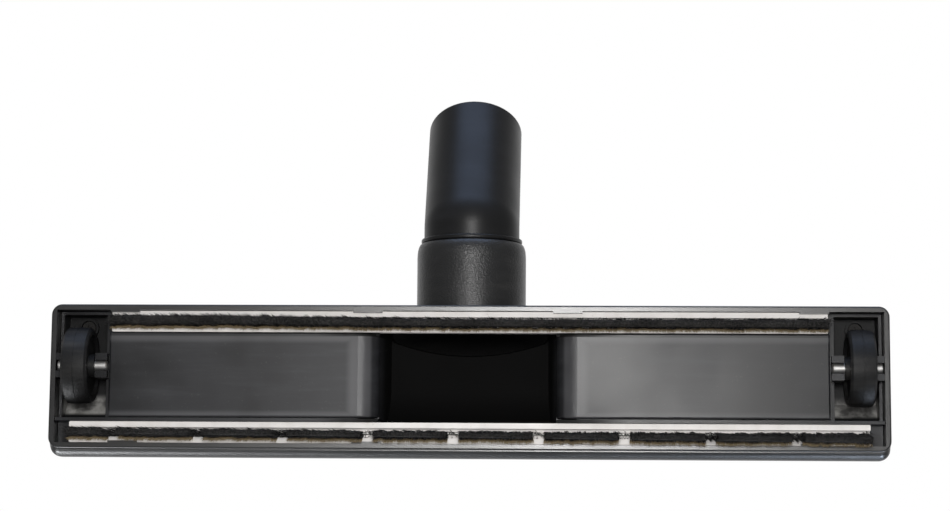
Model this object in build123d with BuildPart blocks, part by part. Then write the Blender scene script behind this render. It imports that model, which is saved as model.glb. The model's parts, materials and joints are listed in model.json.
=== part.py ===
import os
from math import acos, atan2, cos, hypot, radians, sin, tan

from build123d import *

# Vacuum floor brush head, standing on its wheels and hair strips.
# Millimetres. +Z is up from the floor, +Y points to the tube behind the head, +X is the user's left.
# Depths are measured from the middle of the rim, heights from the floor.

# Driving dimensions of the cover
head_length = 360.0
rim_depth = 62.0
rim_height = 14.0
wall = 2.4
top_height = 44.0
slope_start = -10.0
slope_angle = 34.0
slope_blend = 25.0
rear_top_radius = 6.0
brow_radius = 6.0
end_radius = 4.6
nose_overhang = 3.5
nose_step = 0.5
nose_step_height = 1.0
nose_rise = 2.6
nose_blend = 6.0
rim_edge_radius = 0.7
relief_length = 39.0
relief_depth = 0.6
relief_height = 15.0
relief_centre = 3.6
relief_corner = 1.5

# Hump, collar and swivel
swivel_height = 51.0
collar_wall = 2.92
collar_overhang = 31.0
collar_shoulder_length = 6.0
collar_shoulder_depth = 2.0
quarter_turn = 90.0
hump_base = 26.0
hump_half = 50.0
hump_toe = 9.5
hump_lean = 25.0
hump_sweep = 107.0
crest_radius = 7.0

# Swivel elbow
socket_radius = 19.0
socket_wall = 2.25
socket_step = 1.4
elbow_bend = 34.0
elbow_knee = 70.0
elbow_leg = 59.0
socket_depth = 42.0
socket_chamfer = 0.6
tip_radius = 0.8
bead_height = 1.25
bead_width = 2.1
bead_edge = 0.8
swivel_clearance = 0.08
end_play = 0.2
ring_shoulder = 5.0
spigot_lip = 2.0
ring_thickness = 1.4
ring_groove = 1.05
chamber_wall = 1.55
ring_gap = 8.0
ring_room = 0.4
seal_station = 50.0
seal_width = 2.2
seal_groove = 1.35
seal_clearance = 0.05

# Strips: carriers, hair and core wires
carrier_width = 9.0
carrier_thickness = 5.0
carrier_recess = 2.5
front_end_margin = 6.1
rear_end_margin = 1.2
carrier_corner = 0.6
hair_thickness = 4.2
hair_root = 3.6
hair_end_margin = 0.5
gap_spaces = 9.4
gap_width = 5.0
gap_offset = 5.8
gap_count = 9
wire_radius = 0.6
wire_end_margin = 2.0
wire_drop = 1.1
wire_clearance = 0.05
fit_gap = 0.2
tab_width = 12.5
tab_reach = 0.9
tab_inner = 43.0
tab_end_margin = 7.2

# Sole frame
frame_wall = 2.0
plate_recess = 1.0
plate_groove = 0.6
plate_wall = 2.2
plate_edge_radius = 0.8
plate_depth = 3.0
channel_wall = 1.3
mouth_half = 38.1
mouth_overlap = 0.5
lip_width = 9.0
lip_height = 6.5
duct_top_half = 34.5
end_bay = 22.4
divider_wall = 1.8
end_plate_wall = 1.3
well_ceiling = 34.2
well_recess = 8.0
well_chamfer_depth = 7.6
well_chamfer_height = 6.7
well_rear_wall = 1.2
well_front_wall = 1.8

# Wheels, axles, bearings and screws
wheel_radius = 16.5
wheel_width = 11.0
wheel_crown = 0.3
wheel_chamfer = 0.9
wheel_web_inset = 1.4
wheel_rim_wall = 3.2
hub_radius = 5.0
part_line_width = 0.4
part_line_depth = 0.2
axle_radius = 2.5
axle_depth = 4.5
axle_chamfer = 0.5
axle_inset = 0.4
running_clearance = 0.08
hub_play = 0.3
bearing_reach = 3.4
outer_bearing_reach = 1.8
bearing_arm = 2.7
slot_clearance = 0.05
slot_throat = 4.7
bearing_drop = 0.6
screw_depth = 22.3
boss_radius = 4.3
boss_drop = 2.4
screw_head_radius = 2.9
screw_head_height = 2.0
screw_radius = 1.5
screw_tip_gap = 0.4
screw_clearance = 0.1
head_clearance = 0.4
drive_length = 3.0
drive_width = 0.7
drive_depth = 1.0
post_radius = 3.8

# Derived places
bend = radians(elbow_bend)
slope = radians(slope_angle)
lean = radians(hump_lean)
half_length = head_length / 2
rim_edge = rim_depth / 2
inner_edge = rim_edge - wall
inner_end = half_length - wall
inner_top = top_height - wall
divider = inner_end - end_bay
nose = rim_edge + nose_overhang
step_height = rim_height + nose_step_height
elbow_radius = socket_radius + socket_wall
airway_radius = socket_radius - socket_step
tip_along = (elbow_leg - tip_radius) * cos(bend)
tip_aside = (elbow_radius - tip_radius) * sin(bend)
tip_reach = elbow_knee + tip_along + tip_aside + tip_radius
head_y = (nose - tip_reach) / 2
collar_mouth = rim_edge + collar_overhang
shoulder_start = collar_mouth - collar_shoulder_length
collar_bore = elbow_radius + swivel_clearance
collar_radius = collar_bore + collar_wall
bead_radius = elbow_radius + bead_height
ring_seat = rim_edge + ring_shoulder
ring_chamber = collar_radius - chamber_wall
ring_outer_radius = ring_chamber - ring_room
ring_inner_radius = elbow_radius - ring_groove
seal_inner_radius = elbow_radius - seal_groove
ring_station = ring_seat - end_play - ring_thickness
spigot_end = ring_station - spigot_lip
front_carrier_length = 2 * (inner_end - front_end_margin)
rear_carrier_length = 2 * (divider - rear_end_margin)
gap_pitch = front_carrier_length / gap_spaces
tab_places = (tab_inner, divider - tab_end_margin)
carrier_bottom = rim_height + carrier_recess
carrier_top = carrier_bottom + carrier_thickness
channel_edge = inner_edge - carrier_width - 2 * fit_gap
strip_depth = inner_edge - fit_gap - carrier_width / 2
hair_top = carrier_bottom + hair_root
wire_height = hair_top - wire_drop
roof_bottom = carrier_top + fit_gap
roof_top = roof_bottom + frame_wall
plate_bottom = rim_height + plate_recess
plate_back = plate_bottom + plate_depth
deck_top = plate_bottom + lip_height
lip_end = mouth_half + lip_width
mouth_edge = channel_edge + mouth_overlap
duct_front = mouth_edge + channel_wall
deck_edge = channel_edge - channel_wall
plate_edge = deck_edge - plate_groove
plate_end = divider - plate_groove
frame_edge = inner_edge - fit_gap
frame_end = inner_end - fit_gap
well_inner = divider + divider_wall
well_outer = frame_end - end_plate_wall
well_front = well_front_wall - channel_edge
well_rear = frame_edge - well_rear_wall
well_top = well_ceiling + frame_wall
well_bottom = rim_height + well_recess
bearing_inner = well_inner + bearing_reach
bearing_outer = well_outer - outer_bearing_reach
wheel_place = (bearing_inner + bearing_outer) / 2
hub_length = bearing_outer - bearing_inner - 2 * hub_play
axle_height = wheel_radius
axle_inner_end = divider + axle_inset
axle_length = frame_end - axle_inset - axle_inner_end
bearing_bottom = axle_height - axle_radius - bearing_drop
post_bottom = well_top + fit_gap
screw_length = inner_top - screw_tip_gap - well_ceiling
sides = (("left", 1), ("right", -1))


def level(height):
    """Horizontal plane at a height over the floor, centred on the rim."""
    return Plane((0, head_y, height))


def rearward(depth, height=0.0):
    """Upright plane across the head that faces the tube; its x runs to the user's right."""
    return Plane(origin=(0, head_y + depth, height), x_dir=(-1, 0, 0), z_dir=(0, 1, 0))


def sideways(place):
    """Upright plane along the depth that faces the user's left; its x is depth, its y is height."""
    return Plane(origin=(place, head_y, 0), x_dir=(0, 1, 0), z_dir=(1, 0, 0))


def slope_height(depth, inset):
    """Height of the cover's front slope at a depth, on a line sunk by inset under its skin."""
    return top_height - (slope_start - depth) * tan(slope) - inset / cos(slope)


def hollow_section(inset):
    """Section of the space under the wings, inset from the rim and the cover's skin."""
    edge = rim_edge - inset
    crease = slope_start + inset * (1 / cos(slope) - 1) / tan(slope)
    top = top_height - inset
    front = slope_height(-edge, inset)
    Polygon((edge, 0), (edge, top), (crease, top), (-edge, front), (-edge, 0), align=None)
    fillet(vertices().sort_by_distance((crease, top))[0], radius=slope_blend - inset)


def well_section():
    """Section of a wheel well: upright rear, level ceiling and a sloped front corner."""
    Polygon(
        (well_rear, 0),
        (well_rear, well_ceiling),
        (well_front + well_chamfer_depth, well_ceiling),
        (well_front, well_ceiling - well_chamfer_height),
        (well_front, 0),
        align=None,
    )


def duct_wall_section(sign, bottom):
    """Section of one leaning side wall of the suction duct, from a height up past the cover."""
    taper = (mouth_half - duct_top_half) / (inner_top - deck_top)
    low = sign * (mouth_half - (bottom - deck_top) * taper)
    high = sign * (mouth_half - (top_height - deck_top) * taper)
    thick = sign * plate_wall
    upper, lower = (high + thick, top_height), (low + thick, bottom)
    Polygon((low, bottom), (high, top_height), upper, lower, align=None)


os.makedirs("parts", exist_ok=True)

# Hump and the air space inside it: a bell-shaped ridge with straight flanks and a bowed, leaning front
front_centre = hump_toe + hump_sweep / cos(lean)
front_axis = (0, sin(lean), cos(lean))
front_plane = Plane((0, head_y + front_centre, top_height), x_dir=(1, 0, 0), z_dir=front_axis)
humps = []
for inset, rear in ((0, rim_edge), (wall, inner_edge)):
    half_base = hump_half - inset
    crown_radius = collar_radius - inset
    rise = swivel_height - hump_base
    turn = acos(crown_radius / hypot(half_base, rise)) - atan2(rise, half_base)
    side, shoulder = crown_radius * cos(turn), swivel_height + crown_radius * sin(turn)
    with BuildPart() as hump:
        with BuildSketch(rearward(collar_mouth)):
            with BuildLine():
                Polyline(
                    (-side, shoulder), (-half_base, hump_base), (half_base, hump_base), (side, shoulder)
                )
                ThreePointArc((side, shoulder), (0, swivel_height + crown_radius), (-side, shoulder))
            make_face()
        extrude(amount=-collar_mouth)
        with BuildSketch(front_plane):
            Circle(hump_sweep - inset)
        extrude(amount=hump_sweep, both=True, mode=Mode.INTERSECT)
        front = faces().sort_by(Axis.Y)[0]
        crest = front.edges().filter_by(lambda edge: edge.center().Z > hump_base + fit_gap)
        fillet(crest, radius=crest_radius - inset)
        split(bisect_by=rearward(rear), keep=Keep.BOTTOM)
    humps.append(hump.part)

# Upper cover: rim, wings with a sloped front, hump and collar
brow_height = slope_height(-nose, 0)
brow_room = brow_height - step_height - 2 * nose_rise
with BuildPart() as upper_cover:
    with BuildSketch(sideways(-half_length)):
        Polygon(
            (rim_edge, step_height),
            (rim_edge, top_height),
            (slope_start, top_height),
            (-nose, brow_height),
            (-nose, step_height + nose_rise),
            (-rim_edge - nose_step, step_height),
            align=None,
        )
        fillet(vertices().sort_by_distance((rim_edge, top_height))[0], radius=rear_top_radius)
        fillet(vertices().sort_by_distance((slope_start, top_height))[0], radius=slope_blend)
        fillet(vertices().sort_by_distance((-nose, brow_height))[0], radius=min(brow_radius, brow_room))
        fillet(vertices().sort_by_distance((-nose, step_height + nose_rise))[0], radius=nose_blend)
    extrude(amount=head_length)
    ends = faces().sort_by(Axis.X)
    end_edges = (ends[0].edges() + ends[-1].edges()).filter_by(
        lambda edge: edge.center().Z > step_height + fit_gap
    )
    fillet(end_edges, radius=end_radius)
    with BuildSketch(level(rim_height)):
        RectangleRounded(head_length, rim_depth, end_radius)
    extrude(amount=nose_step_height)
    rim_outline = faces().sort_by(Axis.Z)[0].edges()
    fillet(rim_outline, radius=rim_edge_radius)
    add(humps[0])
    add(humps[1], mode=Mode.SUBTRACT)
    with BuildSketch(sideways(-inner_end)):
        hollow_section(wall)
    extrude(amount=2 * inner_end, mode=Mode.SUBTRACT)
    with BuildSketch(sideways(0)):
        with BuildLine():
            Polyline(
                (collar_mouth, swivel_height + collar_radius - collar_shoulder_depth),
                (collar_mouth, swivel_height),
                (rim_edge, swivel_height),
                (rim_edge, swivel_height + collar_radius),
                (shoulder_start, swivel_height + collar_radius),
            )
            EllipticalCenterArc(
                (shoulder_start, swivel_height + collar_radius - collar_shoulder_depth),
                collar_shoulder_length,
                collar_shoulder_depth,
                start_angle=0,
                arc_size=quarter_turn,
            )
        make_face()
    revolve(axis=Axis((0, 0, swivel_height), (0, 1, 0)))
    with BuildSketch(rearward(inner_edge, swivel_height)):
        Circle(ring_chamber)
    extrude(amount=ring_seat - inner_edge, mode=Mode.SUBTRACT)
    with BuildSketch(rearward(ring_seat, swivel_height)):
        Circle(collar_bore)
    extrude(amount=collar_mouth - ring_seat, mode=Mode.SUBTRACT)
    with BuildSketch(level(rim_height)):
        for place in tab_places:
            for depth in (inner_edge, -inner_edge):
                with Locations((place, depth), (-place, depth)):
                    Rectangle(tab_width, 2 * tab_reach)
    extrude(amount=carrier_bottom - fit_gap - rim_height)
    with BuildSketch(level(post_bottom)):
        with Locations((wheel_place, screw_depth), (-wheel_place, screw_depth)):
            Circle(post_radius)
            Circle(screw_radius + screw_clearance, mode=Mode.SUBTRACT)
    extrude(amount=inner_top - post_bottom)
    for name, sign in sides:
        with BuildSketch(sideways(sign * half_length)):
            with Locations((relief_centre, step_height + relief_height / 2)):
                RectangleRounded(relief_length, relief_height, relief_corner)
        extrude(amount=-sign * relief_depth, mode=Mode.SUBTRACT)
upper_cover.part.label = "upper_cover"
export_step(upper_cover.part, "parts/upper_cover.step")

# Suction duct of the sole frame: leaning side walls and a front wall, cut off under the cover
with BuildPart() as duct:
    with BuildSketch(level(roof_bottom)):
        with Locations((0, -(mouth_edge + duct_front) / 2)):
            Rectangle(2 * (mouth_half + plate_wall), channel_wall)
    extrude(amount=top_height - roof_bottom)
    for name, sign in sides:
        with BuildSketch(rearward(-channel_edge)):
            duct_wall_section(sign, deck_top - fit_gap)
        extrude(amount=channel_edge + deck_edge)
        with BuildSketch(rearward(-duct_front)):
            duct_wall_section(sign, roof_bottom)
        extrude(amount=duct_front + frame_edge)
    with BuildSketch(sideways(-inner_end)):
        hollow_section(wall + fit_gap)
    extrude(amount=2 * inner_end, mode=Mode.INTERSECT)

# Sole frame: plates, duct, strip channels, wheel wells and axle bearings in one moulding
with BuildPart() as sole_frame:
    for name, sign in sides:
        with BuildSketch(rearward(-plate_edge)):
            with BuildLine():
                Polyline(
                    (sign * mouth_half, deck_top),
                    (sign * plate_end, deck_top),
                    (sign * plate_end, plate_bottom),
                    (sign * lip_end, plate_bottom),
                )
                EllipticalCenterArc(
                    (sign * lip_end, deck_top),
                    lip_width,
                    lip_height,
                    start_angle=(5 - sign) / 2 * quarter_turn,
                    arc_size=quarter_turn,
                )
            make_face()
        extrude(amount=plate_edge + channel_edge)
    rolled_edges = edges().filter_by(Axis.Z, reverse=True).filter_by(
        lambda edge: edge.center().Z < plate_back
        and (abs(edge.center().Y - head_y) > plate_edge / 2 or abs(edge.center().X) > plate_end - fit_gap)
    )
    fillet(rolled_edges, radius=plate_edge_radius)
    with BuildSketch(level(plate_back)):
        for name, sign in sides:
            with Locations((sign * (lip_end + divider) / 2, 0)):
                Rectangle(divider - lip_end, 2 * deck_edge)
    extrude(amount=deck_top - plate_back)
    with BuildSketch(level(plate_bottom + plate_wall)):
        for name, sign in sides:
            with Locations((sign * (lip_end + plate_end - plate_wall) / 2, 0)):
                Rectangle(plate_end - plate_wall - lip_end, 2 * (plate_edge - plate_wall))
    extrude(amount=deck_top - plate_bottom - plate_wall, mode=Mode.SUBTRACT)
    # Strip channels: inner walls and roofs
    with BuildSketch(level(plate_back)):
        with Locations((0, (deck_edge + channel_edge) / 2)):
            Rectangle(2 * divider, channel_wall)
    extrude(amount=roof_top - plate_back)
    with BuildSketch(level(plate_bottom)):
        with Locations((0, -(deck_edge + channel_edge) / 2)):
            Rectangle(2 * frame_end, channel_wall)
    extrude(amount=roof_top - plate_bottom)
    with BuildSketch(level(roof_bottom)):
        with Locations((0, (deck_edge + frame_edge) / 2)):
            Rectangle(2 * divider, frame_edge - deck_edge)
        with Locations((0, -(deck_edge + frame_edge) / 2)):
            Rectangle(2 * frame_end, frame_edge - deck_edge)
    extrude(amount=frame_wall)
    # The channels end short of the mouth, so that the carriers edge it
    with BuildSketch(level(plate_bottom)):
        Rectangle(2 * mouth_half, 2 * mouth_edge)
    extrude(amount=roof_top - plate_bottom, mode=Mode.SUBTRACT)
    add(duct.part)
    # Wheel wells with their bearings and screw bosses
    for name, sign in sides:
        with BuildSketch(sideways(sign * divider)):
            well_section()
            offset(amount=frame_wall, kind=Kind.INTERSECTION)
            with Locations(((frame_edge - channel_edge) / 2, (well_bottom + well_top) / 2)):
                Rectangle(frame_edge + channel_edge, well_top - well_bottom, mode=Mode.INTERSECT)
        extrude(amount=sign * (frame_end - divider))
        with BuildSketch(sideways(sign * well_inner)):
            well_section()
        extrude(amount=sign * (well_outer - well_inner), mode=Mode.SUBTRACT)
        for start, end in ((divider, bearing_inner), (bearing_outer, frame_end)):
            with BuildSketch(sideways(sign * start)):
                with Locations((axle_depth, (bearing_bottom + well_top) / 2)):
                    Rectangle(2 * (axle_radius + slot_clearance + bearing_arm), well_top - bearing_bottom)
            extrude(amount=sign * (end - start))
        with BuildSketch(level(well_ceiling - boss_drop)):
            with Locations((sign * wheel_place, screw_depth)):
                Circle(boss_radius)
                Circle(screw_head_radius + head_clearance, mode=Mode.SUBTRACT)
        extrude(amount=boss_drop)
        with BuildSketch(sideways(sign * divider)):
            with Locations((axle_depth, axle_height)):
                Circle(axle_radius + slot_clearance)
            with Locations((axle_depth, axle_height / 2)):
                Rectangle(slot_throat, axle_height)
        extrude(amount=sign * (frame_end - divider), mode=Mode.SUBTRACT)
        with BuildSketch(level(well_ceiling)):
            with Locations((sign * wheel_place, screw_depth)):
                Circle(screw_radius + screw_clearance)
        extrude(amount=frame_wall, mode=Mode.SUBTRACT)
sole_frame.part.label = "sole_frame"
export_step(sole_frame.part, "parts/sole_frame.step")

# Hair strips: a slotted carrier, hair folded over a wire, and the wire
for name, side, carrier_length, gaps in (
    ("front", -1, front_carrier_length, gap_count),
    ("rear", 1, rear_carrier_length, 0),
):
    hair_length = carrier_length - 2 * hair_end_margin
    wire_length = hair_length - 2 * wire_end_margin

    with BuildPart() as carrier:
        with BuildSketch(sideways(-carrier_length / 2)):
            with Locations((side * strip_depth, (carrier_bottom + carrier_top) / 2)):
                Rectangle(carrier_width, carrier_thickness)
            with Locations((side * strip_depth, (carrier_bottom + hair_top) / 2)):
                Rectangle(hair_thickness, hair_root, mode=Mode.SUBTRACT)
        extrude(amount=carrier_length)
        slot_side = (hair_thickness + carrier_width) / 4
        corners = edges().filter_by(Axis.Z).filter_by(
            lambda edge: abs(abs(edge.center().Y - head_y) - strip_depth) > slot_side
        )
        fillet(corners, radius=carrier_corner)
    carrier.part.label = f"{name}_strip_carrier"
    export_step(carrier.part, f"parts/{name}_strip_carrier.step")

    with BuildPart() as bristles:
        with BuildSketch(sideways(-hair_length / 2)):
            with Locations((side * strip_depth, hair_top / 2)):
                Rectangle(hair_thickness, hair_top)
            with Locations((side * strip_depth, wire_height)):
                Circle(wire_radius + wire_clearance, mode=Mode.SUBTRACT)
        extrude(amount=hair_length)
        if gaps:
            with BuildSketch(level(0)):
                with Locations((gap_offset, side * strip_depth)):
                    with GridLocations(gap_pitch, carrier_width, gaps, 1):
                        Rectangle(gap_width, carrier_width)
            extrude(amount=carrier_bottom, mode=Mode.SUBTRACT)
    bristles.part.label = f"{name}_bristles"
    export_step(bristles.part, f"parts/{name}_bristles.step")

    with BuildPart() as wire:
        with BuildSketch(sideways(-wire_length / 2)):
            with Locations((side * strip_depth, wire_height)):
                Circle(wire_radius)
        extrude(amount=wire_length)
    wire.part.label = f"{name}_core_wire"
    export_step(wire.part, f"parts/{name}_core_wire.step")

# Wheels, axles and cover screws, one of each per side
axle_line = Axis((0, head_y + axle_depth, axle_height), (1, 0, 0))
tread_radius = wheel_radius - wheel_crown
for name, sign in sides:
    wheel_centre = (sign * wheel_place, head_y + axle_depth, axle_height)
    wheel_plane = Plane(origin=wheel_centre, x_dir=(1, 0, 0), z_dir=(0, -1, 0))
    with BuildPart() as wheel:
        with BuildSketch(wheel_plane):
            with BuildLine():
                Polyline(
                    (wheel_width / 2 - wheel_chamfer, tread_radius),
                    (wheel_width / 2, tread_radius - wheel_chamfer),
                    (wheel_width / 2, wheel_radius - wheel_rim_wall),
                    (wheel_width / 2 - wheel_web_inset, wheel_radius - wheel_rim_wall),
                    (wheel_width / 2 - wheel_web_inset, hub_radius),
                    (hub_length / 2, hub_radius),
                    (hub_length / 2, axle_radius + running_clearance),
                    (-hub_length / 2, axle_radius + running_clearance),
                    (-hub_length / 2, hub_radius),
                    (wheel_web_inset - wheel_width / 2, hub_radius),
                    (wheel_web_inset - wheel_width / 2, wheel_radius - wheel_rim_wall),
                    (-wheel_width / 2, wheel_radius - wheel_rim_wall),
                    (-wheel_width / 2, tread_radius - wheel_chamfer),
                    (wheel_chamfer - wheel_width / 2, tread_radius),
                )
                ThreePointArc(
                    (wheel_chamfer - wheel_width / 2, tread_radius),
                    (0, wheel_radius),
                    (wheel_width / 2 - wheel_chamfer, tread_radius),
                )
            make_face()
            with Locations((0, wheel_radius)):
                Rectangle(part_line_width, 2 * part_line_depth, mode=Mode.SUBTRACT)
        revolve(axis=axle_line)
    wheel.part.label = f"{name}_wheel"
    export_step(wheel.part, f"parts/{name}_wheel.step")

    with BuildPart() as axle:
        with BuildSketch(sideways(sign * axle_inner_end)):
            with Locations((axle_depth, axle_height)):
                Circle(axle_radius)
        extrude(amount=sign * axle_length)
        chamfer(edges().filter_by(GeomType.CIRCLE), length=axle_chamfer)
    axle.part.label = f"{name}_axle"
    export_step(axle.part, f"parts/{name}_axle.step")

    with BuildPart() as screw:
        with BuildSketch(level(well_ceiling - screw_head_height)):
            with Locations((sign * wheel_place, screw_depth)):
                Circle(screw_head_radius)
        extrude(amount=screw_head_height)
        with BuildSketch(level(well_ceiling)):
            with Locations((sign * wheel_place, screw_depth)):
                Circle(screw_radius)
        extrude(amount=screw_length)
        with BuildSketch(level(well_ceiling - screw_head_height)):
            with Locations((sign * wheel_place, screw_depth)):
                Rectangle(drive_length, drive_width)
                Rectangle(drive_width, drive_length)
        extrude(amount=drive_depth, mode=Mode.SUBTRACT)
    screw.part.label = f"{name}_cover_screw"
    export_step(screw.part, f"parts/{name}_cover_screw.step")

# Swivel elbow: spigot in the collar, bead at its mouth, round knee and rising leg with the wand socket
knee_plane = Plane(
    origin=(0, head_y + elbow_knee, swivel_height), x_dir=(-1, 0, 0), z_dir=(0, cos(bend), sin(bend))
)
with BuildPart() as swivel_elbow:
    with BuildSketch(rearward(spigot_end, swivel_height)):
        Circle(elbow_radius)
    extrude(amount=elbow_knee - spigot_end)
    with BuildSketch(knee_plane):
        Circle(elbow_radius)
    extrude(amount=elbow_leg)
    tip_edge = edges().filter_by(GeomType.CIRCLE).sort_by(Axis.Y)[-1]
    fillet(tip_edge, radius=tip_radius)
    with Locations((0, head_y + elbow_knee, swivel_height)):
        Sphere(elbow_radius, rotation=(2 * elbow_bend, 0, 0))
    with BuildSketch(sideways(0)):
        with Locations((collar_mouth + end_play + bead_width / 2, swivel_height + bead_radius / 2)):
            Rectangle(bead_width, bead_radius)
        bead_rims = vertices().filter_by(lambda corner: corner.Y > swivel_height + elbow_radius)
        fillet(bead_rims, radius=bead_edge)
    revolve(axis=Axis((0, 0, swivel_height), (0, 1, 0)))
    with BuildSketch(rearward(spigot_end, swivel_height)):
        Circle(airway_radius)
    extrude(amount=elbow_knee - spigot_end, mode=Mode.SUBTRACT)
    with Locations((0, head_y + elbow_knee, swivel_height)):
        Sphere(airway_radius, rotation=(2 * elbow_bend, 0, 0), mode=Mode.SUBTRACT)
    with BuildSketch(knee_plane):
        Circle(airway_radius)
    extrude(amount=elbow_leg, mode=Mode.SUBTRACT)
    with BuildSketch(knee_plane.offset(elbow_leg - socket_depth)):
        Circle(socket_radius)
    extrude(amount=socket_depth, mode=Mode.SUBTRACT)
    socket_rims = edges().filter_by(GeomType.CIRCLE).filter_by(
        lambda edge: abs(edge.radius - socket_radius) < fit_gap
    )
    chamfer(socket_rims.sort_by(Axis.Y)[-1], length=socket_chamfer)
    for station, width, floor_radius in (
        (ring_station, ring_thickness, ring_inner_radius),
        (seal_station, seal_width, seal_inner_radius),
    ):
        with BuildSketch(rearward(station, swivel_height)):
            Circle(collar_radius)
            Circle(floor_radius, mode=Mode.SUBTRACT)
        extrude(amount=width, mode=Mode.SUBTRACT)
swivel_elbow.part.label = "swivel_elbow"
export_step(swivel_elbow.part, "parts/swivel_elbow.step")

# Seal ring in the spigot's groove
with BuildPart() as elbow_seal:
    with BuildSketch(rearward(seal_station, swivel_height)):
        Circle(collar_bore - seal_clearance)
        Circle(seal_inner_radius, mode=Mode.SUBTRACT)
    extrude(amount=seal_width)
elbow_seal.part.label = "elbow_seal"
export_step(elbow_seal.part, "parts/elbow_seal.step")

# Split ring behind the collar's shoulder, open at the bottom
with BuildPart() as elbow_snap_ring:
    with BuildSketch(rearward(ring_station, swivel_height)):
        Circle(ring_outer_radius)
        Circle(ring_inner_radius, mode=Mode.SUBTRACT)
        with Locations((0, -ring_outer_radius)):
            Rectangle(ring_gap, ring_outer_radius, mode=Mode.SUBTRACT)
    extrude(amount=ring_thickness)
elbow_snap_ring.part.label = "elbow_snap_ring"
export_step(elbow_snap_ring.part, "parts/elbow_snap_ring.step")
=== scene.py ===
import json
import random

import bmesh
import bpy
from mathutils import Matrix, Vector


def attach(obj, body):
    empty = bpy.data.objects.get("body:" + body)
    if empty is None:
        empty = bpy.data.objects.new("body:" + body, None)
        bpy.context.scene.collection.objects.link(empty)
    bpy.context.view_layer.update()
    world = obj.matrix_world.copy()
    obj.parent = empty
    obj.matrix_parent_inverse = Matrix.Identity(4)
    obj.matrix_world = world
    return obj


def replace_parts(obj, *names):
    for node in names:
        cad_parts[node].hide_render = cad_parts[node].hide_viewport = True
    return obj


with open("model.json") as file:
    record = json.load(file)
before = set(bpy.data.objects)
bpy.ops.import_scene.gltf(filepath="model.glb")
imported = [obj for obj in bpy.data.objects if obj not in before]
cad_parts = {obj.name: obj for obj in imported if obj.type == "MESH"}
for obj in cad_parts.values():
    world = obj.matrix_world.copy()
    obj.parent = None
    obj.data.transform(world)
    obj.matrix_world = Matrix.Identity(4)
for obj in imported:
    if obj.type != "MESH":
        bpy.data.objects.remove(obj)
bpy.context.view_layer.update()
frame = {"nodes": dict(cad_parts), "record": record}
nodes = frame["nodes"]

# Places along and across the head, in metres
HEAD_MIDDLE = -0.0479927
STRIP_OFFSET = 0.0239
FRONT_STRIP = HEAD_MIDDLE - STRIP_OFFSET
REAR_STRIP = HEAD_MIDDLE + STRIP_OFFSET
FRONT_HALF = 0.171
REAR_HALF = 0.1535
COLLAR_START = HEAD_MIDDLE + 0.0300
COVER_INSIDE = 0.0285
MOUTH_ROOM = 0.0450
LIP_END = 0.0480
BORDER_START = 0.0140
BORDER_END = 0.0490
PLATE_EDGE = 0.0172
WALL_EDGE = 0.0174
WALL_SHADE = 0.0400
WELL_START = 0.1565
# Front and back of the pale band on the well roofs: dust film with a painted pool of light
DUST_AND_LIGHT_FRONT = HEAD_MIDDLE - 0.0164
DUST_AND_LIGHT_BACK = HEAD_MIDDLE - 0.0100

# Heights above the floor, in metres
PLATE_LEVEL = 0.0150
RIM_LEVEL = 0.0160
MOUTH_LEVEL = 0.0180
SLOT_TOP = 0.0196
LIP_LEVEL = 0.0210
WELL_LEVEL = 0.0235
AXLE_SHADE = 0.0240
ROOF_LEVEL = 0.0424

# Front slope of the cover: its rise, and the height of its inner face over the middle of the head
COVER_SLOPE = 0.6745
SLOPE_LEVEL = 0.0482

# Hair strips, in metres
FRONT_CARRIER = 0.343
GAP_SPACES = 9.4
GAP_PITCH = FRONT_CARRIER / GAP_SPACES
GAP_MIDDLE = 0.0058
GAP_WIDTH = 0.0050
GAPS_EACH_WAY = 4
FIRM_HALF = 0.07
FRONT_REACH = (-0.0019, 0.0012)
REAR_REACH = (-0.0021, 0.0018)
FRONT_LEAN = -0.0014
FRONT_LEAN_RISE = 0.0085
REAR_LEAN = -0.0017
REAR_LEAN_RISE = 0.021
REAR_RISE_START = 0.02
REAR_RISE_LENGTH = 0.08
HAIR_WIDTHS = (0.00011, 0.00017)
KNEE_SHARE = 0.4
SPLAY = 0.1
DEPTH_SPREAD = 0.6
TUFT_LENGTH = 0.0022
TUFT_STEP = TUFT_LENGTH * 0.95
TUFT_WANDER = 0.0003
LOOSE_INSET = 0.001
CORE_LENGTH = 0.040
CORE_INSET = 0.0005
CORE_BOTTOM = 0.0040
FRONT_SEED = 11
REAR_SEED = 23

# Camera, fitted to the photograph
CAMERA_PLACE = (-0.044437, -0.124141, -0.966879)
CAMERA_RIGHT = (-0.99912, 0.00738, 0.04124)
CAMERA_FORWARD = (0.04185, 0.12994, 0.99064)
CAMERA_LENS = 87.158
SENSOR_WIDTH = 36.0


# Node tools

def effect_group(name, inputs, outputs):
    """A shared surface effect with named inputs and outputs."""
    group = bpy.data.node_groups.new(name, "ShaderNodeTree")
    for label, kind, value in inputs:
        socket = group.interface.new_socket(label, in_out="INPUT", socket_type=kind)
        if value is not None:
            socket.default_value = value
    for label in outputs:
        group.interface.new_socket(label, in_out="OUTPUT", socket_type="NodeSocketFloat")
    return group, group.nodes.new("NodeGroupInput").outputs, group.nodes.new("NodeGroupOutput").inputs


def noise(tree, vector, scale, detail=2.0, roughness=0.5):
    node = tree.nodes.new("ShaderNodeTexNoise")
    node.inputs["Detail"].default_value = detail
    node.inputs["Roughness"].default_value = roughness
    tree.links.new(vector, node.inputs["Vector"])
    if isinstance(scale, float):
        node.inputs["Scale"].default_value = scale
    else:
        tree.links.new(scale, node.inputs["Scale"])
    return node.outputs["Fac"]


def stretched(tree, vector, scale):
    node = tree.nodes.new("ShaderNodeMapping")
    node.inputs["Scale"].default_value = scale
    tree.links.new(vector, node.inputs["Vector"])
    return node.outputs["Vector"]


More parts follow.
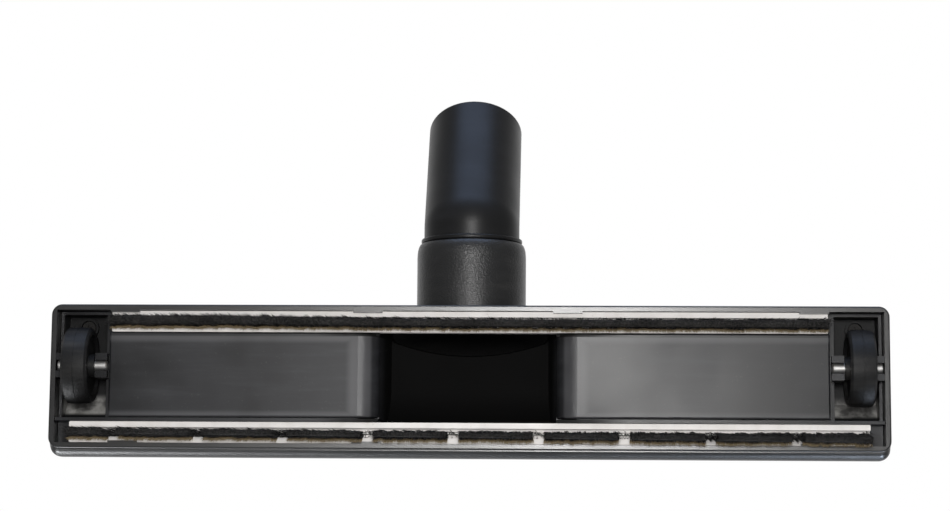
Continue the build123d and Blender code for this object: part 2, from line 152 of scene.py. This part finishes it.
def ranged(tree, value, low, high, to_low=0.0, to_high=1.0):
    node = tree.nodes.new("ShaderNodeMapRange")
    node.interpolation_type = "SMOOTHSTEP"
    for label, number in (("From Min", low), ("From Max", high), ("To Min", to_low), ("To Max", to_high)):
        node.inputs[label].default_value = number
    tree.links.new(value, node.inputs["Value"])
    return node.outputs["Result"]


def above(tree, value, place, soft):
    """A mask that rises from 0 to 1 over a soft edge past a place."""
    return ranged(tree, value, place, place + soft)


def below(tree, value, place, soft):
    """A mask that is 1 up to a place and falls to 0 over a soft edge past it."""
    return ranged(tree, value, place, place + soft, 1.0, 0.0)


def combined(tree, operation, a, b):
    node = tree.nodes.new("ShaderNodeMath")
    node.operation = operation
    for socket, value in zip(node.inputs, (a, b)):
        if isinstance(value, float):
            socket.default_value = value
        else:
            tree.links.new(value, socket)
    return node.outputs["Value"]


def product(tree, *values):
    result = values[0]
    for value in values[1:]:
        result = combined(tree, "MULTIPLY", result, value)
    return result


def strongest(tree, *masks):
    result = masks[0]
    for mask in masks[1:]:
        result = combined(tree, "MAXIMUM", result, mask)
    return result


def weighted(tree, start, *terms):
    """A start value plus each mask times its weight."""
    result = start
    for mask, weight in terms:
        result = combined(tree, "ADD", product(tree, mask, weight), result)
    return result


def away(tree, value, middle):
    """How far a value is from a middle, to either side."""
    return combined(tree, "ABSOLUTE", combined(tree, "SUBTRACT", value, middle), 0.0)


def within(tree, value, middle, reach, soft):
    """A mask that is 1 up to a reach from a middle and fades out over a soft edge."""
    return below(tree, away(tree, value, middle), reach, soft)


def tinted(tree, factor, low, high):
    """A colour between two, chosen by a mask; either colour may be another node's."""
    node = tree.nodes.new("ShaderNodeMix")
    node.data_type = "RGBA"
    tree.links.new(factor, node.inputs[0])
    for socket, colour in ((node.inputs[6], low), (node.inputs[7], high)):
        if isinstance(colour, tuple):
            socket.default_value = (*colour, 1.0)
        else:
            tree.links.new(colour, socket)
    return node.outputs[2]


def placed(tree, group, vector, **values):
    """An effect group put into a material with its own values."""
    node = tree.nodes.new("ShaderNodeGroup")
    node.node_tree = group
    tree.links.new(vector, node.inputs["Vector"])
    for label, value in values.items():
        node.inputs[label.replace("_", " ").capitalize()].default_value = value
    return node.outputs


def surface(name, **shader_values):
    """A material with its shader and its object coordinates, ready for links."""
    material = bpy.data.materials.new(name)
    material.use_nodes = True
    tree = material.node_tree
    shader = tree.nodes["Principled BSDF"]
    for label, value in shader_values.items():
        shader.inputs[label.replace("_", " ")].default_value = value
    coordinates = tree.nodes.new("ShaderNodeTexCoord").outputs["Object"]
    return material, tree, shader.inputs, coordinates


def apart(tree, vector):
    node = tree.nodes.new("ShaderNodeSeparateXYZ")
    tree.links.new(vector, node.inputs["Vector"])
    return node.outputs["X"], node.outputs["Y"], node.outputs["Z"]


def bumped(tree, shader, height, strength, distance):
    node = tree.nodes.new("ShaderNodeBump")
    node.inputs["Strength"].default_value = strength
    node.inputs["Distance"].default_value = distance
    tree.links.new(height, node.inputs["Height"])
    tree.links.new(node.outputs["Normal"], shader["Normal"])


# Shared effects: moulded grain, rubbed streaks, settled dust

grain_group, given, made = effect_group(
    "moulded_grain",
    (
        ("Vector", "NodeSocketVector", None),
        ("Pitch", "NodeSocketFloat", 1200.0),
        ("Cloud pitch", "NodeSocketFloat", 40.0),
    ),
    ("Height", "Cloud"),
)
tree = grain_group
fine = noise(tree, given["Vector"], given["Pitch"], 3.0, 0.6)
tree.links.new(ranged(tree, fine, 0.3, 0.7), made["Height"])
broad = noise(tree, given["Vector"], given["Cloud pitch"], 3.0)
tree.links.new(ranged(tree, broad, 0.3, 0.7), made["Cloud"])

streak_group, given, made = effect_group(
    "rubbed_streaks",
    (
        ("Vector", "NodeSocketVector", None),
        ("Pitch", "NodeSocketFloat", 60.0),
        ("Patch pitch", "NodeSocketFloat", 25.0),
    ),
    ("Streaks", "Patches"),
)
tree = streak_group
long_way = noise(tree, stretched(tree, given["Vector"], (0.3, 3.0, 1.0)), given["Pitch"], 4.0, 0.65)
patches = ranged(tree, noise(tree, given["Vector"], given["Patch pitch"], 3.0, 0.55), 0.34, 0.70)
tree.links.new(product(tree, ranged(tree, long_way, 0.42, 0.78), patches), made["Streaks"])
tree.links.new(patches, made["Patches"])

dust_group, given, made = effect_group(
    "settled_dust",
    (
        ("Vector", "NodeSocketVector", None),
        ("Pitch", "NodeSocketFloat", 90.0),
        ("Speck pitch", "NodeSocketFloat", 900.0),
    ),
    ("Film", "Specks"),
)
tree = dust_group
tree.links.new(ranged(tree, noise(tree, given["Vector"], given["Pitch"], 4.0, 0.6), 0.35, 0.75), made["Film"])
tree.links.new(ranged(tree, noise(tree, given["Vector"], given["Speck pitch"]), 0.66, 0.76), made["Specks"])


# Finishes

def worn_mask(tree, at):
    """Rubbed streaks and a few specks of dust, as one mask."""
    streak = placed(tree, streak_group, at)
    dust = placed(tree, dust_group, at)
    return strongest(tree, streak["Streaks"], product(tree, dust["Specks"], 0.3))


def cover_finish():
    """Black cover: grained outside, smooth and shinier along the rim, with painted shade inside the mouth,
    where it is also duller.
    """
    material, tree, shader, at = surface("cover_grained")
    grain = placed(tree, grain_group, at, pitch=1150.0)
    x, y, z = apart(tree, at)
    rim = below(tree, z, RIM_LEVEL, soft=0.0012)
    collar = above(tree, y, COLLAR_START, soft=0.0020)
    rise = product(tree, combined(tree, "SUBTRACT", y, HEAD_MIDDLE), COVER_SLOPE)
    fallen = combined(tree, "SUBTRACT", z, rise)
    # Mouth mask: painted shade darkens the colour here, and the shine and grain are turned down
    mouth_shade = product(
        tree,
        within(tree, x, 0.0, MOUTH_ROOM, soft=0.0010),
        within(tree, y, HEAD_MIDDLE, COVER_INSIDE, soft=0.0006),
        above(tree, z, MOUTH_LEVEL, soft=0.0010),
        below(tree, z, ROOF_LEVEL, soft=0.0010),
        below(tree, fallen, SLOPE_LEVEL, soft=0.0006),
    )
    worn = tinted(tree, worn_mask(tree, at), (0.006, 0.006, 0.0062), (0.024, 0.023, 0.022))
    # Painted shade: near-black colour inside the mouth
    tree.links.new(tinted(tree, mouth_shade, worn, (0.0022, 0.0022, 0.0022)), shader["Base Color"])
    level = weighted(tree, 0.45, (rim, 0.6), (collar, 0.45), (mouth_shade, -0.36))
    tree.links.new(level, shader["Specular IOR Level"])
    rough = weighted(tree, 0.36, (grain["Cloud"], 0.03), (rim, -0.08), (mouth_shade, 0.3))
    tree.links.new(rough, shader["Roughness"])
    grained = weighted(tree, 1.0, (strongest(tree, rim, mouth_shade), -0.9))
    bumped(tree, shader, product(tree, grain["Height"], grained), strength=0.4, distance=0.0002)
    return material


def black_plastic(name, rubbed, rough, pitch, strength, level):
    """Black moulded plastic: fine grain, rubbed streaks and a few specks of dust."""
    material, tree, shader, at = surface(name, Specular_IOR_Level=level)
    grain = placed(tree, grain_group, at, pitch=pitch)
    tree.links.new(tinted(tree, worn_mask(tree, at), (0.0055, 0.0055, 0.0058), rubbed), shader["Base Color"])
    tree.links.new(ranged(tree, grain["Cloud"], 0.0, 1.0, *rough), shader["Roughness"])
    bumped(tree, shader, grain["Height"], strength, distance=0.0002)
    return material


def sole_finish():
    """Satin sole: scuffed plates with a painted highlight along their border, painted shade in the mouth,
    wheel wells and channel walls, and on the well roofs a pale dust film painted brighter as a pool of light.
    """
    material, tree, shader, at = surface("sole_satin")
    grain = placed(tree, grain_group, at, pitch=2200.0, cloud_pitch=30.0)
    streak = placed(tree, streak_group, at, pitch=70.0, patch_pitch=22.0)
    dust = placed(tree, dust_group, at, pitch=120.0)
    x, y, z = apart(tree, at)
    off_middle = away(tree, y, HEAD_MIDDLE)
    well = product(
        tree,
        above(tree, away(tree, x, 0.0), WELL_START, soft=0.0010),
        above(tree, z, WELL_LEVEL, soft=0.0030),
    )
    # Pale band at the front of the well roofs: a dust film, painted brighter as a pool of light
    dust_and_light_pool = product(
        tree, well,
        below(tree, y, DUST_AND_LIGHT_BACK, soft=0.0040), above(tree, y, DUST_AND_LIGHT_FRONT, soft=0.0016),
        weighted(tree, 0.15, (dust["Film"], 0.85)),
    )
    mouth_shade = product(
        tree, above(tree, z, LIP_LEVEL, soft=0.0130), within(tree, x, 0.0, LIP_END, soft=0.0020),
    )
    walls = product(
        tree, above(tree, off_middle, WALL_EDGE, soft=0.0005), within(tree, x, 0.0, WALL_SHADE, soft=0.0300),
    )
    # Painted shade in the mouth, the wheel wells and the channel walls near the mouth
    deep_shade = strongest(tree, mouth_shade, product(tree, well, 0.7), walls)
    along = product(
        tree,
        above(tree, off_middle, BORDER_START, soft=0.0025),
        below(tree, off_middle, PLATE_EDGE, soft=0.0006),
    )
    # Painted highlight: a patchy lighter band along the plate borders, standing in for the sheen of a rolled
    # edge
    edge_sheen = product(
        tree,
        strongest(tree, along, within(tree, x, 0.0, BORDER_END, soft=0.0040)),
        below(tree, z, PLATE_LEVEL + 0.0010, soft=0.0010),
        weighted(tree, 0.3, (streak["Patches"], 0.4)),
    )
    scuff = weighted(tree, 0.0, (streak["Streaks"], 0.45), (streak["Patches"], 0.5))
    plastic = tinted(tree, scuff, (0.0055, 0.0057, 0.0065), (0.031, 0.032, 0.036))
    # Plates with the painted edge highlight
    rubbed = tinted(tree, edge_sheen, plastic, (0.085, 0.085, 0.090))
    # Painted shade in the mouth, wells and channel walls
    shaded = tinted(tree, deep_shade, rubbed, (0.004, 0.004, 0.004))
    specked = tinted(tree, product(tree, dust["Specks"], 0.12), shaded, (0.12, 0.115, 0.105))
    # Dust film painted brighter as a pool of light on the well roofs
    tree.links.new(tinted(tree, dust_and_light_pool, specked, (0.34, 0.335, 0.32)), shader["Base Color"])
    tree.links.new(weighted(tree, 0.4, (deep_shade, -0.25)), shader["Specular IOR Level"])
    rough = weighted(tree, 0.30, (streak["Patches"], 0.07), (grain["Cloud"], 0.02), (deep_shade, 0.2))
    tree.links.new(rough, shader["Roughness"])
    bumped(tree, shader, grain["Height"], strength=0.1, distance=0.0001)
    return material


def carrier_finish():
    """Off-white strip carrier with grey handling marks."""
    material, tree, shader, at = surface("carrier_offwhite", Specular_IOR_Level=0.4)
    grain = placed(tree, grain_group, at, pitch=1500.0, cloud_pitch=120.0)
    dust = placed(tree, dust_group, at, pitch=160.0, speck_pitch=700.0)
    marked = strongest(tree, product(tree, dust["Film"], 0.3), product(tree, dust["Specks"], 0.5))
    tree.links.new(tinted(tree, marked, (0.80, 0.775, 0.755), (0.55, 0.52, 0.48)), shader["Base Color"])
    tree.links.new(ranged(tree, grain["Cloud"], 0.0, 1.0, 0.42, 0.6), shader["Roughness"])
    bumped(tree, shader, grain["Height"], strength=0.1, distance=0.0001)
    return material


def hair_finish(name, low, high):
    """Hair that changes from strand to strand."""
    material, tree, shader, at = surface(name, Specular_IOR_Level=0.15, Roughness=0.7)
    strand = noise(tree, stretched(tree, at, (1.0, 1.0, 0.03)), 2600.0, 1.0)
    tree.links.new(tinted(tree, ranged(tree, strand, 0.3, 0.75), low, high), shader["Base Color"])
    return material


def steel_finish():
    """Drawn steel with fine lines along its length, with painted shade where it sits deep in the wells."""
    material, tree, shader, at = surface("drawn_steel", Metallic=1.0)
    lines = noise(tree, stretched(tree, at, (0.05, 1.0, 1.0)), 2400.0, 3.0, 0.6)
    cloud = placed(tree, grain_group, at, cloud_pitch=300.0)["Cloud"]
    # Painted shade on the steel deep in the wells
    deep_shade = above(tree, apart(tree, at)[2], AXLE_SHADE, soft=0.0040)
    bright = tinted(tree, cloud, (0.70, 0.69, 0.67), (0.88, 0.87, 0.85))
    tree.links.new(tinted(tree, deep_shade, bright, (0.035, 0.034, 0.033)), shader["Base Color"])
    tree.links.new(weighted(tree, 0.36, (lines, 0.2), (deep_shade, 0.1)), shader["Roughness"])
    bumped(tree, shader, lines, strength=0.08, distance=0.00005)
    return material


finishes = {
    "cover_plastic": cover_finish(),
    "elbow_plastic": black_plastic(
        "elbow_smooth", rubbed=(0.010, 0.010, 0.011), rough=(0.38, 0.43),
        pitch=2600.0, strength=0.04, level=0.45,
    ),
    "wheel_plastic": black_plastic(
        "wheel_dull", rubbed=(0.035, 0.033, 0.030), rough=(0.44, 0.54),
        pitch=1800.0, strength=0.25, level=0.4,
    ),
    "seal_rubber": black_plastic(
        "seal_soft", rubbed=(0.02, 0.02, 0.02), rough=(0.6, 0.7),
        pitch=1600.0, strength=0.2, level=0.2,
    ),
    "sole_plastic": sole_finish(),
    "carrier_plastic": carrier_finish(),
    "hair": hair_finish("strip_hair", (0.003, 0.003, 0.0035), (0.055, 0.053, 0.051)),
    "steel": steel_finish(),
}
for part in frame["record"]["subparts"]:
    mesh = nodes[part["node"]].data
    mesh.materials.clear()
    mesh.materials.append(finishes[part["material_slot"]])
brown_hair = hair_finish("fringe_hair", (0.15, 0.115, 0.065), (0.34, 0.27, 0.170))


# Hair strips

def grow_hair(shape, root, tip, width):
    """One hair: a thin tube that leaves its slot straight down, bends over and ends in a point."""
    ring = bmesh.ops.create_circle(shape, segments=3, radius=width, matrix=Matrix.Translation(root))["verts"]
    edges = list({edge for vert in ring for edge in vert.link_edges})
    bmesh.ops.contextual_create(shape, geom=edges)
    knee = root + KNEE_SHARE * (tip - root)
    knee.z = (root.z + tip.z) / 2
    for start, end in ((root, knee), (knee, tip)):
        grown = bmesh.ops.extrude_edge_only(shape, edges=edges)["geom"]
        ring = [piece for piece in grown if isinstance(piece, bmesh.types.BMVert)]
        edges = [
            piece for piece in grown
            if isinstance(piece, bmesh.types.BMEdge) and all(vert in ring for vert in piece.verts)
        ]
        bmesh.ops.translate(shape, vec=end - start, verts=ring)
    bmesh.ops.pointmerge(shape, verts=ring, merge_co=tip)


def hair_tuft(name, dice, count, length, depths, heights, spread, drift=0.0):
    """A short stretch of hair strip, as a mesh that is set along the strip many times."""
    shape = bmesh.new()
    for _ in range(count):
        root = Vector((dice.uniform(-0.5, 0.5) * length, dice.uniform(*depths), SLOT_TOP))
        sideways = dice.gauss(0, spread)
        outwards = root.y * SPLAY + drift + dice.gauss(0, spread * DEPTH_SPREAD)
        tip = root + Vector((sideways, outwards, 0))
        tip.z = dice.uniform(*heights)
        grow_hair(shape, root, tip, dice.uniform(*HAIR_WIDTHS))
    bmesh.ops.recalc_face_normals(shape, faces=shape.faces)
    mesh = bpy.data.meshes.new(name)
    shape.to_mesh(mesh)
    shape.free()
    return mesh


def set_tuft(strip, tuft, place, lean):
    """A copy of a tuft at a place along the strip, leant over towards its tips."""
    copy = tuft.copy()
    copy.transform(Matrix.Translation(place) @ Matrix((
        (1, 0, 0, 0), (0, 1, -lean / SLOT_TOP, lean), (0, 0, 1, 0), (0, 0, 0, 1),
    )))
    strip.from_mesh(copy)
    bpy.data.meshes.remove(copy)


def lay_core(strip, low, high, depth, reach, lean):
    """Dense hair in the heart of a stretch, as blocks that lean with the tufts around them."""
    count = max(1, round((high - low) / CORE_LENGTH))
    step = (high - low - 2 * CORE_INSET) / count
    size = Matrix.Diagonal((step, reach[1] - reach[0] - 2 * CORE_INSET, SLOT_TOP - CORE_BOTTOM, 1))
    for n in range(count):
        across = low + CORE_INSET + (n + 0.5) * step
        middle = (across, depth + sum(reach) / 2, (SLOT_TOP + CORE_BOTTOM) / 2)
        core = bmesh.ops.create_cube(strip, size=1, matrix=Matrix.Translation(middle) @ size)["verts"]
        for vert in core:
            vert.co.y += lean(vert.co.x) * (1 - vert.co.z / SLOT_TOP)


def strip_piece(name, strip, material):
    """The finished hair as a piece of the head."""
    mesh = bpy.data.meshes.new(name)
    strip.to_mesh(mesh)
    strip.free()
    for face in mesh.polygons:
        face.use_smooth = True
    mesh.materials.append(material)
    piece = bpy.data.objects.new(name, mesh)
    bpy.context.scene.collection.objects.link(piece)
    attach(piece, "head")
    return piece


def hair_strip(name, node, depth, reach, stretches, lean, seed):
    """Black hair over each stretch, a brown fringe along its front, and loose hairs at both ends."""
    dice = random.Random(seed)
    full = [
        hair_tuft(f"tuft_{n}", dice, 95, TUFT_LENGTH, reach, heights=(0.0, 0.0022), spread=0.00045)
        for n in range(10)
    ]
    fringe = [
        hair_tuft(
            f"fringe_{n}", dice, 60, TUFT_LENGTH, (-0.0021, -0.0013),
            heights=(0.007, 0.013), spread=0.0004, drift=-0.0016,
        )
        for n in range(8)
    ]
    stubs = [
        hair_tuft(
            f"stub_{n}", dice, 30, GAP_WIDTH, (-0.0018, 0.0010), heights=(0.0090, 0.0160), spread=0.0009,
        )
        for n in range(4)
    ]
    thin = hair_tuft("thin", dice, 80, GAP_WIDTH, reach, heights=(0.0, 0.006), spread=0.0006)
    loose = hair_tuft("loose", dice, 26, 0.003, (-0.0019, 0.0019), heights=(0.0, 0.004), spread=0.0016)
    black, brown = bmesh.new(), bmesh.new()
    for low, high in stretches:
        count = max(1, round((high - low) / TUFT_STEP))
        for n in range(count):
            across = low + (n + 0.5) * (high - low) / count
            place = (across, depth + dice.uniform(-TUFT_WANDER, TUFT_WANDER), 0)
            set_tuft(black, dice.choice(full), place, lean(across))
            set_tuft(brown, dice.choice(fringe), place, lean(across))
        lay_core(black, low, high, depth, reach, lean)
    for (_, low), (high, _) in zip(stretches, stretches[1:]):
        middle = (low + high) / 2
        set_tuft(black, dice.choice(stubs), (middle, depth, 0), 0.0)
        if abs(middle) > FIRM_HALF:
            set_tuft(black, thin, (middle, depth, 0), lean(middle))
    for end in (stretches[0][0] + LOOSE_INSET, stretches[-1][1] - LOOSE_INSET):
        set_tuft(black, loose, (end, depth, 0), lean(end))
    for tuft in (*full, *fringe, *stubs, thin, loose):
        bpy.data.meshes.remove(tuft)
    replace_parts(strip_piece(f"{name}_hair", black, finishes["hair"]), node)
    strip_piece(f"{name}_fringe", brown, brown_hair)


def front_lean(x):
    """How far the tips of the front hair lean, changing evenly along the strip."""
    return FRONT_LEAN_RISE * x + FRONT_LEAN


def rear_lean(x):
    """How far the tips of the rear hair lean, changing over a part of the left half only."""
    return REAR_LEAN_RISE * min(max(x - REAR_RISE_START, 0.0), REAR_RISE_LENGTH) + REAR_LEAN


gap_edges = [-FRONT_HALF]
for step in range(-GAPS_EACH_WAY, GAPS_EACH_WAY + 1):
    middle = GAP_MIDDLE + step * GAP_PITCH
    gap_edges += [middle - GAP_WIDTH / 2, middle + GAP_WIDTH / 2]
gap_edges.append(FRONT_HALF)
front_stretches = list(zip(gap_edges[::2], gap_edges[1::2]))
rear_stretches = [(-REAR_HALF, REAR_HALF)]
hair_strip("front", "front_bristles", FRONT_STRIP, FRONT_REACH, front_stretches, front_lean, FRONT_SEED)
hair_strip("rear", "rear_bristles", REAR_STRIP, REAR_REACH, rear_stretches, rear_lean, REAR_SEED)


# Floor: seen from above, clear from below, where the photograph was taken from

def pale_floor():
    shape = bmesh.new()
    bmesh.ops.create_grid(shape, x_segments=1, y_segments=1, size=4.0)
    mesh = bpy.data.meshes.new("pale_floor")
    shape.to_mesh(mesh)
    shape.free()
    floor = bpy.data.objects.new("pale_floor", mesh)
    bpy.context.scene.collection.objects.link(floor)
    material = bpy.data.materials.new("pale_floor")
    material.use_nodes = True
    tree = material.node_tree
    tree.nodes.clear()
    matt = tree.nodes.new("ShaderNodeBsdfDiffuse")
    matt.inputs["Color"].default_value = (0.86, 0.86, 0.86, 1.0)
    clear = tree.nodes.new("ShaderNodeBsdfTransparent")
    sides = tree.nodes.new("ShaderNodeMixShader")
    tree.links.new(tree.nodes.new("ShaderNodeNewGeometry").outputs["Backfacing"], sides.inputs[0])
    tree.links.new(matt.outputs[0], sides.inputs[1])
    tree.links.new(clear.outputs[0], sides.inputs[2])
    tree.links.new(sides.outputs[0], tree.nodes.new("ShaderNodeOutputMaterial").inputs["Surface"])
    mesh.materials.append(material)
    floor.visible_shadow = floor.visible_diffuse = False
    floor.visible_glossy = floor.visible_transmission = False


pale_floor()


# Light

def panel(name, place, aim, size, power, tint):
    """A soft oval lamp at a place, turned to a point and itself out of the picture."""
    lamp = bpy.data.lights.new(name, "AREA")
    lamp.shape = "ELLIPSE"
    lamp.size, lamp.size_y = size
    lamp.energy = power
    lamp.color = tint
    holder = bpy.data.objects.new(name, lamp)
    bpy.context.scene.collection.objects.link(holder)
    holder.location = place
    holder.rotation_mode = "QUATERNION"
    holder.rotation_quaternion = (Vector(aim) - Vector(place)).to_track_quat("-Z", "Y")
    holder.visible_camera = False
    return holder


WARM_WHITE = (1.0, 0.99, 0.98)
HEAD = (0.0, HEAD_MIDDLE, 0.02)
ELBOW = (0.0, 0.06, 0.06)
panel("flash", (-0.045, 0.03, -0.95), HEAD, size=(0.16, 0.16), power=3.2, tint=WARM_WHITE)
panel("sky_panel", (0.0, 1.5, -0.25), ELBOW, size=(1.9, 0.9), power=8.0, tint=(0.50, 0.66, 1.0))
panel("front_right", (-0.55, -1.4, 0.35), HEAD, size=(0.6, 0.6), power=8.0, tint=(0.72, 0.83, 1.0))
panel("front_left", (0.65, -1.4, 0.35), HEAD, size=(0.6, 0.6), power=13.0, tint=(0.95, 0.97, 1.0))
sole_fill = panel("sole_fill", (-0.044, -0.15, -1.2), HEAD, size=(0.4, 0.4), power=6.0, tint=WARM_WHITE)
top_panel = panel("top_panel", (-0.7, 0.2, 1.5), HEAD, size=(2.6, 2.6), power=16.0, tint=(1.0, 1.0, 1.0))
sole_fill.visible_glossy = top_panel.visible_glossy = False

world = bpy.data.worlds.new("studio")
bpy.context.scene.world = world
world.use_nodes = True
tree = world.node_tree
path = tree.nodes.new("ShaderNodeLightPath").outputs
mirrored = strongest(tree, path["Is Glossy Ray"], path["Is Transmission Ray"])
upward = apart(tree, tree.nodes.new("ShaderNodeTexCoord").outputs["Generated"])[2]
backdrop = product(tree, mirrored, ranged(tree, upward, 0.3, 1.0, 0.2, 1.0))
shown = strongest(tree, path["Is Camera Ray"], backdrop)
unseen = combined(tree, "SUBTRACT", 1.0, strongest(tree, path["Is Camera Ray"], mirrored))
tree.nodes["Background"].inputs["Color"].default_value = (1.0, 1.0, 1.0, 1.0)
tree.links.new(weighted(tree, shown, (unseen, 0.5)), tree.nodes["Background"].inputs["Strength"])


# Camera under the head, a little in front of it, as in the photograph

camera = bpy.data.objects.new("photo_camera", bpy.data.cameras.new("photo_camera"))
bpy.context.scene.collection.objects.link(camera)
camera.data.lens = CAMERA_LENS
camera.data.sensor_width = SENSOR_WIDTH
camera.data.clip_start, camera.data.clip_end = 0.01, 30.0
forward = Vector(CAMERA_FORWARD).normalized()
right = Vector(CAMERA_RIGHT)
right = (right - right.dot(forward) * forward).normalized()
turn = Matrix((right, right.cross(forward), -forward)).transposed()
camera.matrix_world = Matrix.Translation(CAMERA_PLACE) @ turn.to_4x4()
bpy.context.scene.camera = camera
bpy.context.scene.view_settings.view_transform = "Standard"
